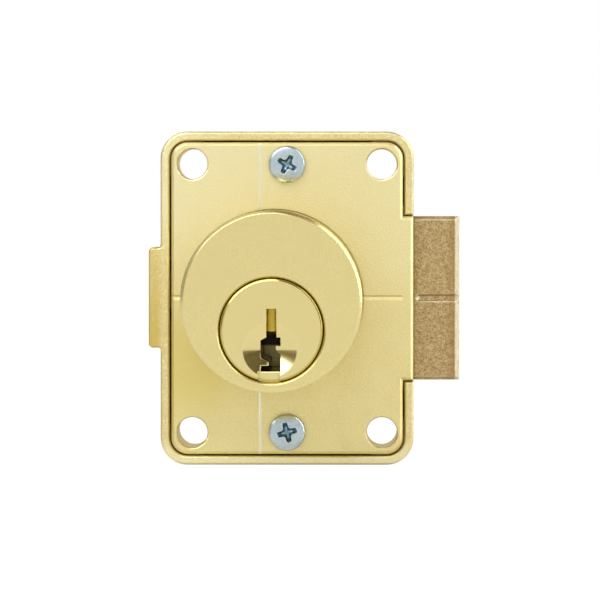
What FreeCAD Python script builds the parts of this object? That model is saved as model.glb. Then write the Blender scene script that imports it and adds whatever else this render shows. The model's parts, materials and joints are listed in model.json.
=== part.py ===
import FreeCAD, Part
import math
import os
import re

import Sketcher
from FreeCAD import Placement, Rotation, Vector

# Cabinet door latch lock with a pin tumbler cylinder.
# Frame: X towards the latch bolt, Y into the cabinet, Z up. The origin is on the cylinder's axis
# in the plane of the cover plate, which lies against the inside of the door.

# Driving dimensions in millimetres, or degrees for angles
SIZES = {
    # Case: a cast tray, open at the front, with a bulge on the left for the bolt springs
    "case_width": 36.3,
    "case_height": 47.8,
    "case_depth": 12.7,
    "case_wall": 1.33,
    "case_back": 1.9,
    "case_corner": 3.9,
    "case_shift": 1.85,
    "rim_bevel": 0.26,
    "rim_back": 0.22,
    "back_round": 0.5,
    "bulge_reach": 1.7,
    "bulge_high": 7.3,
    "bulge_low": 7.1,
    "bulge_round": 0.6,
    "bulge_root": 0.4,
    "bulge_wall": 1.2,
    "bulge_skin": 1.6,
    "pocket_half": 6.0,
    "rib_thick": 1.4,
    # Fixing holes through the case's bosses and the cover plate
    "hole_dia": 4.4,
    "hole_inset_x": 4.55,
    "hole_inset_z": 4.65,
    "hole_round": 0.25,
    "boss_dia": 7.2,
    # Cover plate, a little proud of the rim, with a tongue in the case's notch
    "plate_thick": 2.6,
    "plate_gap": 0.22,
    "plate_bevel": 0.38,
    "tongue_gap": 0.2,
    "tongue_inset": 0.05,
    "score_x": -2.0,
    "score_wide": 0.34,
    "score_deep": 0.12,
    "line_wide": 0.66,
    "line_deep": 0.12,
    "score_steep": 0.06,
    # Screws: two pan heads in the plate, two flush heads behind it and one on the cam
    "screw_inset": 4.7,
    "screw_head": 5.25,
    "screw_head_tall": 1.5,
    "screw_head_round": 0.8,
    "screw_shank": 2.9,
    "screw_long": 7.5,
    "screw_boss": 5.2,
    "screw_slack": 0.2,
    "thread_gap": 0.05,
    "recess_arm": 1.38,
    "recess_wide": 0.8,
    "recess_deep": 1.1,
    "recess_taper": 12.0,
    "upper_recess_turn": 28.0,
    "lower_recess_turn": -15.0,
    "flush_head": 5.4,
    "flush_long": 8.0,
    "flush_side": 7.8,
    "flush_up": 3.5,
    "cam_screw_long": 4.8,
    # Cylinder shell
    "cylinder_dia": 25.4,
    "cylinder_reach": 23.8,
    "cylinder_edge": 0.42,
    "recess_edge": 0.25,
    "spigot_step": 0.2,
    "spigot_start": 0.3,
    "seat_deep": 1.0,
    "seat_gap": 0.06,
    "strip_wide": 3.6,
    "strip_thick": 1.1,
    "strip_gap": 0.03,
    "strip_margin": 1.6,
    # Plug and its keyway, measured from the plug's own axis
    "plug_drop": 4.0,
    "plug_dia": 12.7,
    "plug_gap": 0.05,
    "flange_dia": 14.6,
    "flange_thick": 2.0,
    "flange_round": 0.6,
    "collar_dia": 7.4,
    "collar_gap": 0.25,
    "stub_dia": 6.0,
    "stub_flat": 4.8,
    "stub_gap": 0.05,
    "keyway_run": 1.03,
    "keyway_top": 3.0,
    "keyway_floor": 5.78,
    "keyway_left": 1.5,
    "keyway_right": 1.24,
    "slot_half": 0.69,
    "shoulder_drop": 1.05,
    "shoulder_slope": 0.4,
    "ward_top": 2.2,
    "ward_right": 0.55,
    "ward_low": 3.4,
    "ward_slope": 0.66,
    "nose_top": 3.9,
    "nose_tip": 4.45,
    "nose_low": 4.95,
    "nose_left": 0.4,
    "dimple_dia": 7.6,
    "dimple_left": 0.22,
    "dimple_drop": 2.75,
    "dimple_deep": 2.2,
    "notch_wide": 3.0,
    "notch_left": 0.3,
    "notch_deep": 0.6,
    # Pin stacks
    "pin_count": 5,
    "pin_last": 2.09,
    "pin_pitch": 3.96,
    "pin_dia": 2.92,
    "pin_gap": 0.04,
    "pin_edge": 0.12,
    "pin_nose": 0.9,
    "pin_nose_flat": 0.7,
    "pin_top_gap": 0.2,
    "pin_seat": -1.25,
    "pin_tip_1": -1.15,
    "pin_tip_2": 1.2,
    "pin_tip_3": 0.1,
    "pin_tip_4": 1.6,
    "pin_tip_5": 0.5,
    "driver_gap": 0.07,
    "driver_long": 3.8,
    "pin_spring_dia": 2.5,
    "pin_spring_wire": 0.3,
    "pin_spring_turns": 6,
    # Cam: its working flank is an involute, so the bolt moves evenly with the plug
    "cam_base": 4.0,
    "cam_lead_angle": 34.4,
    "cam_turn_angle": 95.0,
    "cam_thick": 2.9,
    "cam_tip_wide": 1.6,
    "cam_slack": 0.1,
    "cam_clamp": 0.1,
    # Latch bolt
    "bolt_high": 23.5,
    "bolt_reach": 6.6,
    "slide_gap": 0.15,
    "guide_gap": 0.1,
    "window_gap": 0.3,
    "abutment_lap": 0.6,
    "tail_wall": 1.7,
    "ear_high": 1.0,
    "ear_long": 2.4,
    "bevel_long": 5.6,
    "bevel_land": 2.4,
    "bolt_edge": 0.5,
    "groove_start": 0.6,
    "groove_wide": 1.0,
    "groove_deep": 0.22,
    "spot_dia": 0.62,
    "spot_deep": 0.4,
    "peg_dia": 2.3,
    "peg_long": 2.2,
    # Bolt springs
    "spring_rise": 3.5,
    "spring_dia": 4.0,
    "spring_wire": 0.45,
    "spring_turns": 6,
    "spring_gap": 0.05,
}

# Places worked out from the driving dimensions
PLACES = {
    "case_left": "case_shift - case_width / 2",
    "case_right": "case_shift + case_width / 2",
    "case_top": "case_height / 2",
    "cavity_left": "case_left + case_wall",
    "cavity_right": "case_right - case_wall",
    "cavity_top": "case_top - case_wall",
    "floor_y": "case_depth - case_back",
    "bulge_left": "case_left - bulge_reach",
    "pocket_left": "bulge_left + bulge_wall",
    "hole_x": "case_width / 2 - hole_inset_x",
    "hole_z": "case_top - hole_inset_z",
    "screw_z": "case_top - screw_inset",
    "plate_left": "cavity_left + plate_gap",
    "plate_right": "cavity_right - plate_gap",
    "plate_top": "cavity_top - plate_gap",
    "tongue_right": "case_right - tongue_inset",
    "notch_half": "bolt_high / 2 + tongue_gap",
    "guide_half": "bolt_high / 2 + guide_gap",
    "shell_front": "0 - cylinder_reach",
    "shell_radius": "cylinder_dia / 2",
    "spigot_radius": "shell_radius - spigot_step",
    "strip_floor": "shell_radius - strip_thick",
    "pin_front": "0 - pin_last - (pin_count - 1) * pin_pitch",
    "strip_front": "pin_front - strip_margin",
    "strip_back": "strip_margin - pin_last",
    "keyway_end": "pin_dia / 2 - pin_last + keyway_run",
    "cam_front": "plate_thick + slide_gap",
    "stub_end": "cam_front + cam_thick - cam_clamp",
    "bore_radius": "plug_dia / 2 + plug_gap",
    "key_pin_top": "plug_dia / 2 - pin_top_gap",
    "driver_bottom": "plug_dia / 2 + driver_gap",
    "driver_top": "driver_bottom + driver_long",
    "spring_top": "strip_floor + plug_drop",
    "cam_lead": "cam_lead_angle * pi / 180",
    "cam_sweep": "cam_turn_angle * pi / 180",
    "throw": "cam_base * cam_sweep",
    "cam_tip": "cam_base * sqrt(1 + (cam_lead + cam_sweep) * (cam_lead + cam_sweep))",
    "contact_z": "cam_base - plug_drop",
    "abutment_x": "0 - cam_base * cam_lead - cam_slack",
    "abutment_bottom": "contact_z - abutment_lap",
    "window_left": "0 - cam_base - window_gap",
    "window_right": "cam_base + throw + window_gap",
    "window_top": "cam_tip - plug_drop + window_gap",
    "window_bottom": "0 - plug_drop - cam_base - window_gap",
    "tail_x": "window_left - tail_wall",
    "nose_x": "case_right + bolt_reach",
    "bolt_half": "bolt_high / 2",
    "bolt_front": "plate_thick + slide_gap",
    "bolt_back": "floor_y - slide_gap",
    "bolt_middle": "(bolt_front + bolt_back) / 2",
    "rib_left": "tail_x + ear_long + slide_gap",
}

# How near two levels are to count as one, and the radius on which a loop's corners start
NEAR = 0.001
ROUGH = 10.0
# Points that the involute flank goes through
FLANK_POINTS = 9
WORD = re.compile(r"[a-z][a-z0-9_]*")

doc = FreeCAD.newDocument("latch_lock")
finished = []


def linked(text):
    """The expression with each size and place written with its sheet's name"""
    def full(match):
        word = match.group()
        if word in SIZES:
            return "sizes." + word
        if word in PLACES:
            return "places." + word
        return word
    return WORD.sub(full, text)


def fill_sheet(name, cells, formula=False):
    """A spreadsheet with one aliased cell for each entry"""
    sheet = doc.addObject("Spreadsheet::Sheet", name)
    for row, (alias, content) in enumerate(cells.items(), 1):
        sheet.set(f"A{row}", alias)
        sheet.set(f"B{row}", "=" + linked(content) if formula else str(content))
        sheet.setAlias(f"B{row}", alias)
    doc.recompute()
    return sheet


sizes = fill_sheet("sizes", SIZES)
places = fill_sheet("places", PLACES, formula=True)


def value(name):
    """The present value of a size or a place, as a float"""
    sheet = sizes if name in SIZES else places
    return float(getattr(sheet, name))


def new_body(name, x="0", y="0", z="0", axis=None, turn=0.0):
    """A body with its label, set down at x, y, z"""
    body = doc.addObject("PartDesign::Body", name)
    body.Label = name
    if axis:
        body.Placement = Placement(Vector(), Rotation(axis, turn))
    for letter, text in (("x", x), ("y", y), ("z", z)):
        body.setExpression("Placement.Base." + letter, linked(text))
    finished.append(body)
    return body


def origin_plane(body, role):
    return next(item for item in body.Origin.OriginFeatures if item.Role == role)


def new_sketch(body, name, plane, level="0"):
    """An empty sketch parallel to one of the body's planes, at a level along +X, +Y or +Z"""
    sketch = body.newObject("Sketcher::SketchObject", name)
    sketch.AttachmentSupport = [(origin_plane(body, plane), "")]
    sketch.MapMode = "FlatFace"
    offset = f"0 - ({level})" if plane == "XZ_Plane" else level
    sketch.setExpression("AttachmentOffset.Base.z", linked(offset))
    return sketch


def tie(sketch, kind, first, amount, start):
    """A dimension in a sketch that follows an expression"""
    index = sketch.addConstraint(Sketcher.Constraint(kind, *first, start))
    sketch.setExpression(f"Constraints[{index}]", linked(amount))


def polygon(sketch, corners):
    """A closed loop of straight lines through corners, each a pair of expressions"""
    first = sketch.GeometryCount
    count = len(corners)
    turns = [2 * math.pi * step / count for step in range(count)]
    spots = [Vector(ROUGH * math.cos(turn), ROUGH * math.sin(turn), 0) for turn in turns]
    for spot, following in zip(spots, spots[1:] + spots[:1]):
        sketch.addGeometry(Part.LineSegment(spot, following))
    for step in range(count):
        before = first + (step - 1) % count
        sketch.addConstraint(Sketcher.Constraint("Coincident", before, 2, first + step, 1))
    for step, (across, up) in enumerate(corners):
        tie(sketch, "DistanceX", (-1, 1, first + step, 1), across, spots[step].x)
        tie(sketch, "DistanceY", (-1, 1, first + step, 1), up, spots[step].y)


def circle(sketch, centre, diameter):
    """A circle about a pair of expressions"""
    index = sketch.addGeometry(Part.Circle(Vector(1, 1, 0), Vector(0, 0, 1), 1))
    tie(sketch, "DistanceX", (-1, 1, index, 3), centre[0], 1.0)
    tie(sketch, "DistanceY", (-1, 1, index, 3), centre[1], 1.0)
    tie(sketch, "Diameter", (index,), diameter, 2.0)


def rectangle(left, low, right, high):
    return [(left, low), (right, low), (right, high), (left, high)]


def four_corners(across, up):
    """The four sign pairs of a centred pattern about the case's middle"""
    return [
        (f"case_shift {x_sign} {across}", f"0 {z_sign} {up}")
        for x_sign in "-+" for z_sign in "-+"
    ]


def settle(body, feature, cut):
    """Works the feature out, and makes sure that it adds or removes something"""
    before = body.Tip.Shape.Volume if body.Tip else 0.0
    body.Tip = feature
    doc.recompute()
    change = feature.Shape.Volume - before
    if (change > -NEAR) if cut else (change < NEAR):
        raise RuntimeError(f"{body.Label}: {feature.Label} changes the volume by {change:.4f}")


def prism(body, name, start, end, loops=(), discs=(), plane="XZ_Plane", cut=False, taper=None):
    """A pad or pocket between two levels of loops, and of discs given as centre and diameter"""
    sketch = new_sketch(body, name + "_sketch", plane, start)
    for corners in loops:
        polygon(sketch, corners)
    for centre, diameter in discs:
        circle(sketch, centre, diameter)
    before = body.Tip
    feature = body.newObject("PartDesign::Pocket" if cut else "PartDesign::Pad", name)
    body.Tip = before
    feature.Profile = sketch
    feature.setExpression("Length", linked(f"({end}) - ({start})"))
    feature.Reversed = (plane == "XZ_Plane") != cut
    if taper:
        feature.setExpression("TaperAngle", linked(taper))
    settle(body, feature, cut)
    return feature


def turned(body, name, corners, plane="XY_Plane", cut=False):
    """A solid of revolution about the sketch's vertical axis, from radius and height pairs"""
    sketch = new_sketch(body, name + "_sketch", plane)
    polygon(sketch, corners)
    before = body.Tip
    feature = body.newObject("PartDesign::Groove" if cut else "PartDesign::Revolution", name)
    body.Tip = before
    feature.Profile = sketch
    feature.ReferenceAxis = (sketch, ["V_Axis"])
    feature.Angle = 360
    settle(body, feature, cut)
    return feature


def cone_cut(body, name, x, y, z, near_radius, far_radius, depth):
    """A conical cut along Y, from near_radius at y to far_radius at y less depth"""
    feature = body.newObject("PartDesign::SubtractiveCone", name)
    feature.AttachmentSupport = [(origin_plane(body, "XZ_Plane"), "")]
    feature.MapMode = "FlatFace"
    feature.setExpression("AttachmentOffset.Base.x", linked(x))
    feature.setExpression("AttachmentOffset.Base.y", linked(z))
    feature.setExpression("AttachmentOffset.Base.z", linked(f"0 - ({y})"))
    feature.setExpression("Radius1", linked(near_radius))
    feature.setExpression("Radius2", linked(far_radius))
    feature.setExpression("Height", linked(depth))
    doc.recompute()
    return feature


def repeated(body, name, feature, count, pitch):
    """The feature again and again along +Y"""
    pattern = body.newObject("PartDesign::LinearPattern", name)
    pattern.Originals = [feature]
    pattern.Direction = (next(i for i in body.Origin.OriginFeatures if i.Role == "Y_Axis"), [""])
    pattern.setExpression("Length", linked(f"({count} - 1) * {pitch}"))
    pattern.setExpression("Occurrences", linked(count))
    body.Tip = pattern
    doc.recompute()


def dressed(body, name, chosen, amount, chamfer=False):
    """A fillet or chamfer on the edges of the body so far that the test accepts"""
    base = body.Tip
    names = [f"Edge{n}" for n, edge in enumerate(base.Shape.Edges, 1) if chosen(edge)]
    if not names:
        raise RuntimeError(f"{body.Label}: no edge for {name}")
    feature = body.newObject("PartDesign::Chamfer" if chamfer else "PartDesign::Fillet", name)
    feature.Base = (base, names)
    feature.setExpression("Size" if chamfer else "Radius", linked(amount))
    body.Tip = feature
    doc.recompute()
    if "Invalid" in feature.State or feature.Shape.isNull():
        raise RuntimeError(f"{body.Label}: {name} failed on {len(names)} edges")


def lies_at(letter, level):
    """A test for edges that lie in one plane across X, Y or Z"""
    def test(edge):
        box = edge.BoundBox
        low = getattr(box, letter + "Min")
        high = getattr(box, letter + "Max")
        return abs(low - level) < NEAR and abs(high - level) < NEAR
    return test


def runs_along_depth(edge):
    """A test for straight edges along Y"""
    box = edge.BoundBox
    return box.XLength < NEAR and box.ZLength < NEAR


def depth_edge_at(level):
    """A test for edges along Y at one X"""
    def test(edge):
        return runs_along_depth(edge) and abs(edge.BoundBox.XMin - level) < NEAR
    return test


def corner_at(across, up):
    """A test for edges along Y whose distances from the case's middle are across and up"""
    middle = value("case_shift")

    def test(edge):
        box = edge.BoundBox
        near_x = abs(abs(box.XMin - middle) - across) < NEAR
        return runs_along_depth(edge) and near_x and abs(abs(box.ZMin) - up) < NEAR
    return test


def cross_recess(body, face_y):
    """The tapered cross for a screwdriver, sunk from a head's face towards +Y"""
    arm = "recess_arm"
    half = "recess_wide / 2"
    quarter = [(f"{arm}", f"0 - {half}"), (f"{arm}", half), (half, half)]
    corners = []
    for swap in range(4):
        for across, up in quarter:
            corners.append((across, up))
        quarter = [(f"0 - ({up})", across) for across, up in quarter]
    prism(body, "recess", face_y, f"{face_y} + recess_deep", [corners], cut=True,
          taper="0 - recess_taper")


def pan_screw(name, shank_long, turn, **spot):
    """A pan head screw whose head stands towards its own -Y and whose shank runs along +Y"""
    body = new_body(name, axis=turn[0], turn=turn[1], **spot)
    turned(body, "screw", [
        ("0", "0 - screw_head_tall"),
        ("screw_head / 2", "0 - screw_head_tall"),
        ("screw_head / 2", "0"),
        ("screw_shank / 2", "0"),
        ("screw_shank / 2", shank_long),
        ("0", shank_long),
    ])
    dressed(body, "head_round", lies_at("Y", -value("screw_head_tall")), "screw_head_round")
    cross_recess(body, "0 - screw_head_tall")
    return body


def flush_screw(name, x):
    """A countersunk screw with its head flush in the back of the cover plate"""
    body = new_body(name, x=x, y="plate_thick", z="flush_up", axis=Vector(0, 0, 1), turn=180.0)
    turned(body, "screw", [
        ("0", "0"),
        ("flush_head / 2", "0"),
        ("screw_shank / 2", "(flush_head - screw_shank) / 2"),
        ("screw_shank / 2", "flush_long"),
        ("0", "flush_long"),
    ])
    cross_recess(body, "0")
    return body


def make_case():
    body = new_body("case")
    outline = rectangle("case_left", "0 - case_top", "case_right", "case_top")
    prism(body, "block", "rim_back", "case_depth", [outline])
    dressed(body, "corners", runs_along_depth, "case_corner")
    bulge = rectangle("bulge_left", "0 - bulge_low", "case_left + case_wall / 2", "bulge_high")
    prism(body, "bulge", "rim_back", "case_depth", [bulge])
    dressed(body, "bulge_corners", depth_edge_at(value("bulge_left")), "bulge_round")
    dressed(body, "bulge_roots", depth_edge_at(value("case_left")), "bulge_root")
    dressed(body, "back_edges", lies_at("Y", value("case_depth")), "back_round")
    cavity = rectangle("cavity_left", "0 - cavity_top", "cavity_right", "cavity_top")
    prism(body, "cavity", "0", "floor_y", [cavity], cut=True)
    inner = corner_at(value("case_width") / 2 - value("case_wall"), value("cavity_top"))
    dressed(body, "cavity_corners", inner, "case_corner - case_wall")
    pocket = rectangle("pocket_left", "0 - pocket_half", "cavity_left + case_wall / 2", "pocket_half")
    prism(body, "spring_pocket", "bulge_skin", "floor_y", [pocket], cut=True)
    notch = rectangle("cavity_right - case_wall", "0 - notch_half", "case_right + case_wall", "notch_half")
    prism(body, "notch", "0", "floor_y", [notch], cut=True)
    dressed(body, "rim", lies_at("Y", value("rim_back")), "rim_bevel", chamfer=True)
    into_floor = "floor_y + case_back / 2"
    prism(body, "bosses", "plate_thick", into_floor,
          discs=[(corner, "boss_dia") for corner in four_corners("hole_x", "hole_z")])
    prism(body, "screw_bosses", "plate_thick", into_floor,
          discs=[(("case_shift", f"0 {sign} screw_z"), "screw_boss") for sign in "-+"])
    for name, sign in (("rib_upper", "+"), ("rib_lower", "-")):
        rib = rectangle("rib_left", f"0 {sign} guide_half",
                        "cavity_right + case_wall / 2", f"0 {sign} (guide_half + rib_thick)")
        prism(body, name, "plate_thick", into_floor, [rib])
    prism(body, "fixing_holes", "0", "case_depth", cut=True,
          discs=[(corner, "hole_dia") for corner in four_corners("hole_x", "hole_z")])
    prism(body, "tapped_holes", "plate_thick", "floor_y + case_back / 3", cut=True,
          discs=[(("case_shift", f"0 {sign} screw_z"), "screw_shank + 2 * thread_gap") for sign in "-+"])


def make_cover_plate():
    body = new_body("cover_plate")
    outline = rectangle("plate_left", "0 - plate_top", "plate_right", "plate_top")
    prism(body, "sheet", "0", "plate_thick", [outline])
    dressed(body, "corners", runs_along_depth, "case_corner - case_wall - plate_gap")
    tongue = rectangle("plate_right - case_wall", "0 - bolt_half", "tongue_right", "bolt_half")
    prism(body, "tongue", "0", "plate_thick", [tongue])
    dressed(body, "front_edges", lies_at("Y", 0.0), "plate_bevel", chamfer=True)
    prism(body, "fixing_holes", "0", "plate_thick", cut=True,
          discs=[(corner, "hole_dia") for corner in four_corners("hole_x", "hole_z")])
    hole_radius = value("hole_dia") / 2

    def hole_rim(edge):
        return lies_at("Y", 0.0)(edge) and abs(edge.BoundBox.XLength - 2 * hole_radius) < NEAR
    dressed(body, "hole_edges", hole_rim, "hole_round")
    prism(body, "screw_holes", "0", "plate_thick", cut=True,
          discs=[(("case_shift", f"0 {sign} screw_z"), "screw_shank + 2 * screw_slack") for sign in "-+"])
    prism(body, "cylinder_seat", "0", "seat_deep", cut=True,
          discs=[(("0", "0"), "2 * spigot_radius + 2 * seat_gap")])
    cone_cut(body, "seat_mouth", "0", "spigot_step + seat_gap", "0", "spigot_radius + seat_gap",
             "shell_radius + 2 * seat_gap", "spigot_step + seat_gap")
    prism(body, "collar_hole", "0", "plate_thick", cut=True,
          discs=[(("0", "0 - plug_drop"), "collar_dia + 2 * collar_gap")])
    for name, sign in (("left", "-"), ("right", "+")):
        prism(body, f"flush_hole_{name}", "0", "plate_thick", cut=True,
              discs=[((f"0 {sign} flush_side", "flush_up"), "screw_shank + 2 * screw_slack")])
        cone_cut(body, f"countersink_{name}", f"0 {sign} flush_side", "plate_thick", "flush_up",
                 "flush_head / 2 + thread_gap", "screw_shank / 2 + thread_gap",
                 "(flush_head - screw_shank) / 2")
    score = [("score_x - score_wide / 2", "0"), ("score_x + score_wide / 2", "0"),
             ("score_x + score_wide / 2 - score_steep", "score_deep")]
    prism(body, "upright_score", "0 - plate_top", "plate_top", [score], plane="XY_Plane", cut=True)
    line = [("0", "0 - line_wide / 2"), ("line_deep", "line_wide / 2 - score_steep"),
            ("0", "line_wide / 2")]
    prism(body, "level_score", "plate_left", "plate_right", [line], plane="YZ_Plane", cut=True)


def make_cylinder_shell():
    body = new_body("cylinder_shell")
    turned(body, "barrel", [
        ("0", "shell_front"),
        ("shell_radius - cylinder_edge", "shell_front"),
        ("shell_radius", "shell_front + cylinder_edge"),
        ("shell_radius", "0 - spigot_start"),
        ("spigot_radius", "0 - spigot_start"),
        ("spigot_radius", "seat_deep"),
        ("0", "seat_deep"),
    ])
    prism(body, "plug_bore", "shell_front", "seat_deep", cut=True,
          discs=[(("0", "0 - plug_drop"), "2 * bore_radius")])
    prism(body, "flange_recess", "shell_front", "shell_front + flange_thick + plug_gap", cut=True,
          discs=[(("0", "0 - plug_drop"), "flange_dia + 2 * plug_gap")])
    recess_dia = value("flange_dia") + 2 * value("plug_gap")

    def recess_rim(edge):
        at_front = lies_at("Y", value("shell_front"))(edge)
        return at_front and abs(edge.BoundBox.XLength - recess_dia) < NEAR
    dressed(body, "recess_mouth", recess_rim, "recess_edge", chamfer=True)
    slot = rectangle("0 - strip_wide / 2 - strip_gap", "strip_floor",
                     "strip_wide / 2 + strip_gap", "shell_radius + strip_thick")
    prism(body, "strip_slot", "strip_front - strip_gap", "strip_back + strip_gap", [slot], cut=True)
    first = prism(body, "chamber", "0 - plug_drop", "shell_radius", plane="XY_Plane", cut=True,
                  discs=[(("0", "pin_front"), "pin_dia + 2 * pin_gap")])
    repeated(body, "chambers", first, "pin_count", "pin_pitch")
    prism(body, "tapped_holes", "seat_deep - flush_long", "seat_deep", cut=True,
          discs=[((f"0 {sign} flush_side", "flush_up"), "screw_shank + 2 * thread_gap") for sign in "-+"])


def make_spring_cover():
    """The strip over the pin chambers, rounded on top to the shell's own radius"""
    strip = doc.addObject("Part::Box", "strip_blank")
    for key, text in (("Length", "strip_wide"), ("Width", "strip_back - strip_front"),
                      ("Height", "strip_thick"), ("Placement.Base.x", "0 - strip_wide / 2"),
                      ("Placement.Base.y", "strip_front"), ("Placement.Base.z", "strip_floor")):
        strip.setExpression(key, linked(text))
    barrel = doc.addObject("Part::Cylinder", "strip_round")
    barrel.Placement = Placement(Vector(), Rotation(Vector(1, 0, 0), -90))
    for key, text in (("Radius", "shell_radius"), ("Height", "cylinder_reach"),
                      ("Placement.Base.y", "shell_front")):
        barrel.setExpression(key, linked(text))
    cover = doc.addObject("Part::Common", "spring_cover")
    cover.Label = "spring_cover"
    cover.Base = strip
    cover.Tool = barrel
    finished.append(cover)


def make_plug():
    """The turning core, in a frame on its own axis"""
    body = new_body("plug", z="0 - plug_drop")
    turned(body, "core", [
        ("0", "shell_front"),
        ("flange_dia / 2", "shell_front"),
        ("flange_dia / 2", "shell_front + flange_thick"),
        ("plug_dia / 2", "shell_front + flange_thick"),
        ("plug_dia / 2", "seat_deep"),
        ("collar_dia / 2", "seat_deep"),
        ("collar_dia / 2", "cam_front"),
        ("stub_dia / 2", "cam_front"),
        ("stub_dia / 2", "stub_end"),
        ("0", "stub_end"),
    ])
    dressed(body, "flange_rim", lies_at("Y", value("shell_front")), "flange_round")
    for name, sign in (("flat_right", "+"), ("flat_left", "-")):
        flat = rectangle(f"0 {sign} stub_flat / 2", "0 - stub_dia", f"0 {sign} stub_dia", "stub_dia")
        prism(body, name, "cam_front", "stub_end", [flat], cut=True)
    prism(body, "cam_screw_hole", "stub_end - cam_screw_long", "stub_end", cut=True,
          discs=[(("0", "0"), "screw_shank + 2 * thread_gap")])
    first = prism(body, "pin_hole", "pin_seat", "plug_dia", plane="XY_Plane", cut=True,
                  discs=[(("0", "pin_front"), "pin_dia + 2 * pin_gap")])
    repeated(body, "pin_holes", first, "pin_count", "pin_pitch")
    prism(body, "keyway", "shell_front", "keyway_end", cut=True, loops=[[
        ("0 - slot_half", "keyway_top"),
        ("slot_half", "keyway_top"),
        ("slot_half", "0 - shoulder_drop"),
        ("keyway_right", "0 - shoulder_drop"),
        ("keyway_right", "0 - ward_top"),
        ("ward_right", "0 - ward_top"),
        ("ward_right", "ward_slope - ward_low"),
        ("keyway_right", "0 - ward_low"),
        ("keyway_right", "0 - keyway_floor"),
        ("0 - keyway_left", "0 - keyway_floor"),
        ("0 - keyway_left", "0 - nose_low"),
        ("0 - nose_left", "0 - nose_low"),
        ("0 - nose_left", "0 - nose_tip"),
        ("0 - keyway_left", "0 - nose_top"),
        ("0 - keyway_left", "0 - shoulder_drop - shoulder_slope"),
        ("0 - slot_half", "0 - shoulder_drop"),
    ]])
    cone_cut(body, "dimple", "0 - dimple_left", "shell_front + dimple_deep", "0 - dimple_drop",
             "0", "dimple_dia / 2", "dimple_deep")
    notch = rectangle("0 - notch_left - notch_wide / 2", "0 - flange_dia",
                      "notch_wide / 2 - notch_left", "0 - keyway_floor")
    prism(body, "stop_notch", "shell_front", "shell_front + notch_deep", [notch], cut=True)


def make_pin_stack(number):
    """A key pin, driver pin and spring, in a frame on the plug's axis under their chamber"""
    spot = {"y": f"pin_front + {number - 1} * pin_pitch", "z": "0 - plug_drop"}
    tip = f"pin_tip_{number}"
    key_pin = new_body(f"key_pin_{number}", **spot)
    turned(key_pin, "pin", [
        ("0", tip),
        ("pin_nose_flat / 2", tip),
        ("pin_dia / 2", f"{tip} + pin_nose"),
        ("pin_dia / 2", "key_pin_top - pin_edge"),
        ("pin_dia / 2 - pin_edge", "key_pin_top"),
        ("0", "key_pin_top"),
    ], plane="XZ_Plane")
    driver = new_body(f"driver_pin_{number}", **spot)
    turned(driver, "pin", [
        ("0", "driver_bottom"),
        ("pin_dia / 2 - pin_edge", "driver_bottom"),
        ("pin_dia / 2", "driver_bottom + pin_edge"),
        ("pin_dia / 2", "driver_top - pin_edge"),
        ("pin_dia / 2 - pin_edge", "driver_top"),
        ("0", "driver_top"),
    ], plane="XZ_Plane")
    room = value("spring_top") - value("driver_top") - 2 * value("spring_gap")
    spring = doc.addObject("Part::Feature", f"pin_spring_{number}")
    spring.Shape = coil(value("pin_spring_dia"), value("pin_spring_wire"), room, value("pin_spring_turns"))
    spring.Label = f"pin_spring_{number}"
    for letter, text in (("y", spot["y"]), ("z", "driver_top + spring_gap - plug_drop")):
        spring.setExpression("Placement.Base." + letter, linked(text))
    finished.append(spring)


def arc_leaving(start, heading, end):
    """The arc from start to end that leaves start along heading"""
    chord = end - start
    across = chord - heading * chord.dot(heading)
    across.normalize()
    lean = math.atan2(chord.dot(across), chord.dot(heading))
    bulge = chord.Length / 2 * math.tan(lean / 2)
    side = heading * math.sin(lean) - across * math.cos(lean)
    return Part.Arc(start, start + chord / 2 + side * bulge, end)


def coil(outer, wire, long, turns):
    """A compression spring along +Z from 0, a round wire on pairs of arcs for each half turn"""
    radius = (outer - wire) / 2
    rise = (long - wire) / (turns * 2 * math.pi)

    def on_line(angle):
        return Vector(radius * math.cos(angle), radius * math.sin(angle), wire / 2 + rise * angle)

    def heading(angle):
        ahead = Vector(-radius * math.sin(angle), radius * math.cos(angle), rise)
        return ahead.normalize()

    edges = []
    for half in range(int(2 * turns)):
        start, end = on_line(half * math.pi), on_line((half + 1) * math.pi)
        leave, arrive = heading(half * math.pi), heading((half + 1) * math.pi)
        gap = end - start
        both = leave + arrive
        slope = gap.dot(both)
        spread = 2 * (1 - leave.dot(arrive))
        reach = (math.sqrt(slope * slope + spread * gap.dot(gap)) - slope) / spread
        joint = (start + leave * reach + end - arrive * reach) / 2
        middle = (end - arrive * reach) - (start + leave * reach)
        middle.normalize()
        edges.append(arc_leaving(start, leave, joint).toShape())
        edges.append(arc_leaving(joint, middle, end).toShape())
    path = Part.Wire(edges)
    ring = Part.Wire(Part.Circle(on_line(0), heading(0), wire / 2).toShape())
    return path.makePipeShell([ring], True, False)


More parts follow.
